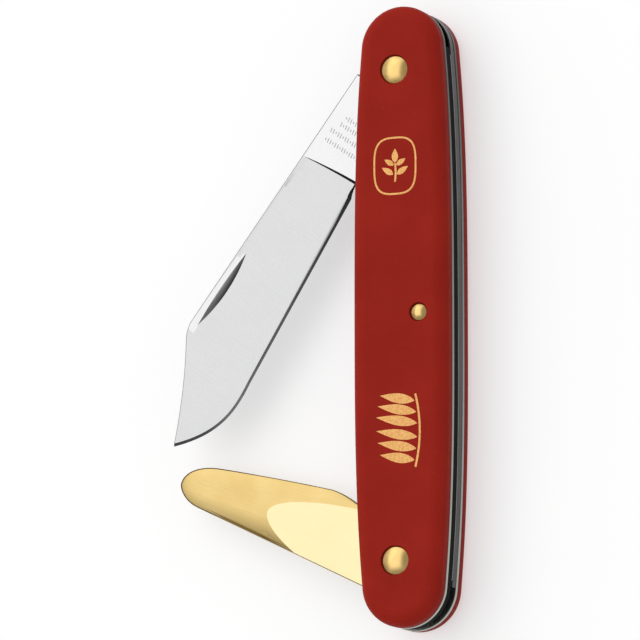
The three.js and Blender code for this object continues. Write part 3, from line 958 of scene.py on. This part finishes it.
def flat_edge(steps=40):
    """Where the lifter's flat ends and its spoon grind starts, from the back to the neck."""
    tip_x, tip_y = FLAT_TIP
    path = Path(*FLAT_BACK)
    path.curve((tip_x - 3.8, tip_y - 4), (tip_x, tip_y - 1.8), FLAT_TIP, steps=steps)
    path.curve((tip_x, tip_y + 2), (tip_x - 6.3, tip_y + 4.3), FLAT_FRONT, steps=steps)
    return path.points


def lifter_lines():
    outline = lifter_outline()
    lines = [flat_edge(), closed(inset_loop(outline, SPINE_BREAK)), closed(inset_loop(outline, 0.5))]
    return [clip_to(line, outline) for line in lines]


def on_flat(points):
    back = FLAT_BACK[1] - FLAT_MARGIN
    front = FLAT_FRONT[1] + FLAT_MARGIN / 2
    return inside(points, [(0, back), (FLAT_BACK[0], back), *flat_edge(), (0, front)])


def lifter_heights(points):
    half = TOOL_THICKNESS / 2
    beyond = np.where(on_flat(points), 0, distances(points, flat_edge()))
    height = half - (half - LIFTER_TIP_HALF) * (1 - np.exp(-beyond / SPOON_FALL))
    outline = closed(lifter_outline())
    rim = distances(points, outline)
    round_off = np.clip(1 - rim / SPOON_ROUND, 0, 1) ** 2
    ground = np.clip(beyond / SPOON_START, 0, 1)
    height -= SPOON_DROP * round_off * ground
    height -= np.where(rim < SPINE_BREAK / 3, SPINE_BREAK, 0)
    return height, -height


def lifter_region(centres):
    """0 is spoon ground, 1 is left flat, 2 is the broken edge, in a darker brass that is painted shade.
    """
    edge = distances(centres[:, :2], closed(lifter_outline())) < SPINE_BREAK
    return np.where(edge, 2, np.where(on_flat(centres[:, :2]), 1, 0))


LIFTER_MATRIX = tool_matrix(LIFTER_ANGLE, -1, lifter_pivot)
tool_piece(
    "bark_lifter_tongue", lifter_outline(), lifter_lines(), 0.45, lifter_heights, lifter_region,
    LIFTER_MATRIX, [LIFTER_GROUND, LIFTER_FLAT, LIFTER_EDGE], "lifter", "bark_lifter",
)


# ---------------------------------------------------------------- marks on the front

FOIL_RISE = 0.015
EMBLEM_CENTRE = (-0.4, 23.8)
EMBLEM_HALF = (3.55, 4.55)
ORNAMENT_TOP, ORNAMENT_BOTTOM = -12.9, -25


def add_band(body, line, width, low, high, loop=False):
    """A thin raised band along a line."""
    points = np.array(line)
    if loop:
        ahead = np.roll(points, -1, axis=0) - np.roll(points, 1, axis=0)
    else:
        ahead = np.gradient(points, axis=0)
    ahead /= np.linalg.norm(ahead, axis=1, keepdims=True)
    sideways = np.stack([-ahead[:, 1], ahead[:, 0]], axis=1) * width / 2
    left, right = (points + sideways).tolist(), (points - sideways).tolist()
    if loop:
        body.stack([(left, low), (left, high)], [[(right, low), (right, high)]])
    else:
        ring = right + left[::-1]
        body.stack([(ring, low), (ring, high)])


def add_leaf(body, start, angle, length, width, low, high, steps=14):
    """A leaf with a point at its end and a stalk end at its start."""
    side = []
    for i in range(1, steps):
        share = i / steps
        side.append((length * share, width / 2 * math.sin(math.pi * share**0.8)))
    ring = [(0, 0), *[(x, -y) for x, y in side], (length, 0), *side[::-1]]
    cos, sin = math.cos(angle), math.sin(angle)
    ring = [(start[0] + x * cos - y * sin, start[1] + x * sin + y * cos) for x, y in ring]
    body.stack([(ring, low), (ring, high)])


def front_foil():
    """Two gold marks: a budding sprig in a frame, and a branch with a row of leaves."""
    low, high = SCALE_TOP - FOIL_RISE, SCALE_TOP + FOIL_RISE
    body = Body()
    x, y = EMBLEM_CENTRE
    frame_line = []
    for i in range(96):
        angle = 2 * math.pi * i / 96
        cos, sin = math.cos(angle), math.sin(angle)
        reach = (abs(cos) ** 3.2 + abs(sin) ** 3.2) ** (-1 / 3.2)
        frame_line.append((x + EMBLEM_HALF[0] * reach * cos, y + EMBLEM_HALF[1] * reach * sin))
    add_band(body, frame_line, 0.3, low, high, loop=True)
    stem = Path(x, y - 2.6).curve((x + 0.25, y - 1), (x, y + 0.4), steps=10).points
    add_band(body, stem, 0.32, low, high)
    add_leaf(body, (x, y + 0.5), math.pi / 2, 2.3, 1.1, low, high)
    for sign in (1, -1):
        angle = math.pi / 2 - sign * math.radians(58)
        add_leaf(body, (x + sign * 0.3, y - 1.4), angle, 2.3, 0.95, low, high)
        add_leaf(body, (x + sign * 0.22, y + 0.1), angle, 1.9, 0.85, low, high)
    count = 6
    span = ORNAMENT_TOP - ORNAMENT_BOTTOM
    branch = Path(3.0, ORNAMENT_TOP - 0.2)
    branch.curve((4.5, ORNAMENT_TOP - span / 2), (3.0, ORNAMENT_BOTTOM + 0.2), steps=32)
    add_band(body, branch.points, 0.34, low, high)
    for i in range(count):
        share = (i + 0.5) / count
        at = branch.points[round(share * 32)]
        bow = math.sin(math.pi * share)
        add_leaf(body, (at[0] - 0.4, at[1]), math.pi - 0.18, 5.6 + 1.6 * bow, 1.6, low, high)
    body.place(1)
    piece = new_piece("front_foil_marks", body.vertices, body.faces, "handle", [FOIL])
    flatten_caps(piece)


def etched_marks():
    """Four rows of fine slanted ticks on the blade, beside the handle."""
    top = TOOL_THICKNESS / 2
    body = Body()
    pitch = 0.5
    rows = ((15.6, -5.6), (13.9, -5.6), (12.3, -4.6), (11.0, -4.4))
    for row, (s, start) in enumerate(rows):
        for i in range(14):
            t = start + pitch * i
            tall = 0.75 if (i + row) % 3 else 0.4
            line = [(s - tall / 2, t), (s + tall / 2, t + 0.12)]
            add_band(body, line, 0.13, top - 0.01, top + 0.006)
    vertices = [BLADE_MATRIX @ Vector(v) for v in body.vertices]
    flatten_caps(new_piece("blade_etched_marks", vertices, body.faces, "blade", [ETCH]))


front_foil()
etched_marks()


# ---------------------------------------------------------------- floor, light and camera

CAMERA_TURN = math.radians(22.053)  # towards +X, from straight above
CAMERA_DROP = math.radians(9.046)  # towards -Y
CAMERA_ROLL = math.radians(-0.137)
CAMERA_DISTANCE = 1.0319
CAMERA_DEPTH = 5.5  # of the point it is measured from, below the front scale's face, in mm
PIXELS = 640
PIXELS_PER_MM = 6.2654
AIM_RIGHT, AIM_UP = -14.455, -0.318  # of the picture's middle from the knife's, in mm
SENSOR = 36


def make_camera():
    """A camera at the viewing angle, with the knife off to the right of its middle."""
    out = Vector((
        math.sin(CAMERA_TURN) * math.cos(CAMERA_DROP),
        -math.sin(CAMERA_DROP),
        math.cos(CAMERA_TURN) * math.cos(CAMERA_DROP),
    ))
    level = Vector((math.cos(CAMERA_TURN), 0, -math.sin(CAMERA_TURN)))
    upright = out.cross(level)
    right = level * math.cos(CAMERA_ROLL) + upright * math.sin(CAMERA_ROLL)
    up = upright * math.cos(CAMERA_ROLL) - level * math.sin(CAMERA_ROLL)
    centre = Vector((0, 0, (SCALE_HIGH.z - CAMERA_DEPTH) * MM))
    aim = centre + (right * AIM_RIGHT + up * AIM_UP) * MM
    place = centre + out * CAMERA_DISTANCE
    back = (place - aim).normalized()
    right = (right - back * right.dot(back)).normalized()
    up = back.cross(right)
    data = bpy.data.cameras.new("camera")
    data.sensor_width = SENSOR
    data.lens = SENSOR * CAMERA_DISTANCE / MM * PIXELS_PER_MM / PIXELS
    camera = bpy.data.objects.new("camera", data)
    bpy.context.scene.collection.objects.link(camera)
    camera.matrix_world = Matrix.Translation(place) @ Matrix((right, up, back)).transposed().to_4x4()
    bpy.context.scene.camera = camera


FLOOR_HALF = 4  # in metres: its far edge stays out of a low view
FLOOR_GLOW = 0.5  # light that the floor gives off, so that it is white and its shadows are faint


def make_floor():
    height = cad_box[0].z
    half = FLOOR_HALF
    signs = ((-1, -1), (1, -1), (1, 1), (-1, 1))
    corners = [(x * half, y * half, height) for x, y in signs]
    mesh = bpy.data.meshes.new("floor")
    mesh.from_pydata(corners, [], [(0, 1, 2, 3)])
    floor = bpy.data.objects.new("floor", mesh)
    bpy.context.scene.collection.objects.link(floor)
    finish = Finish("floor_paper", 0.9)
    finish.shader.inputs["Specular IOR Level"].default_value = 0.0
    grain = finish.noise((0.02, 0.02, 0.02))
    finish.colour(finish.mix(grain, (0.59, 0.59, 0.59, 1), (0.61, 0.61, 0.61, 1)))
    finish.shader.inputs["Emission Color"].default_value = (1, 1, 1, 1)
    finish.shader.inputs["Emission Strength"].default_value = FLOOR_GLOW
    mesh.materials.append(finish.material)


SKY_BRIGHT = 1.6
SKY_DIM = 0.45
BAND_TILT = math.radians(-20)  # of the bright band over the knife, from straight up towards +X
BAND_LEAN = 0.25  # of its middle, towards +Y
BAND_HALF = (math.radians(14), math.radians(34))  # where it starts and ends to dim, across
BAND_REACH = (math.radians(25), math.radians(55))  # the same, along the knife


def make_sky():
    """A dim sky with a wide bright band over the knife, along it, as a long softbox gives."""
    world = bpy.data.worlds.new("studio")
    bpy.context.scene.world = world
    world.use_nodes = True
    tree = world.node_tree
    background = tree.nodes["Background"]
    place = tree.nodes.new("ShaderNodeTexCoord")
    across = (math.cos(BAND_TILT), 0, -math.sin(BAND_TILT))
    shares = []
    for axis, middle, (near, far) in ((across, 0, BAND_HALF), ((0, 1, 0), BAND_LEAN, BAND_REACH)):
        toward = tree.nodes.new("ShaderNodeVectorMath")
        toward.operation = "DOT_PRODUCT"
        toward.inputs[1].default_value = axis
        tree.links.new(place.outputs["Generated"], toward.inputs[0])
        away = tree.nodes.new("ShaderNodeMath")
        away.operation = "SUBTRACT"
        away.inputs[1].default_value = middle
        tree.links.new(toward.outputs["Value"], away.inputs[0])
        size = tree.nodes.new("ShaderNodeMath")
        size.operation = "ABSOLUTE"
        tree.links.new(away.outputs[0], size.inputs[0])
        spread = tree.nodes.new("ShaderNodeMapRange")
        spread.interpolation_type = "SMOOTHSTEP"
        spread.inputs["From Min"].default_value = math.sin(near)
        spread.inputs["From Max"].default_value = math.sin(far)
        spread.inputs["To Min"].default_value = 1.0
        spread.inputs["To Max"].default_value = 0.0
        tree.links.new(size.outputs[0], spread.inputs["Value"])
        shares.append(spread.outputs["Result"])
    both = tree.nodes.new("ShaderNodeMath")
    both.operation = "MULTIPLY"
    for socket, share in zip(both.inputs, shares):
        tree.links.new(share, socket)
    level = tree.nodes.new("ShaderNodeMapRange")
    level.inputs["To Min"].default_value = SKY_DIM
    level.inputs["To Max"].default_value = SKY_BRIGHT
    tree.links.new(both.outputs[0], level.inputs["Value"])
    tree.links.new(level.outputs["Result"], background.inputs["Color"])


def area_light(name, place, size, power):
    """A soft rectangular light that faces the knife."""
    data = bpy.data.lights.new(name, "AREA")
    data.shape = "RECTANGLE"
    data.size, data.size_y = size
    data.energy = power
    light = bpy.data.objects.new(name, data)
    bpy.context.scene.collection.objects.link(light)
    light.location = place
    light.rotation_euler = Vector(place).to_track_quat("Z", "Y").to_euler()


bpy.context.scene.view_settings.view_transform = "Standard"
make_floor()
make_sky()
make_camera()
area_light("fill", (-0.9, 0.6, 0.6), (1.5, 1.5), 2)
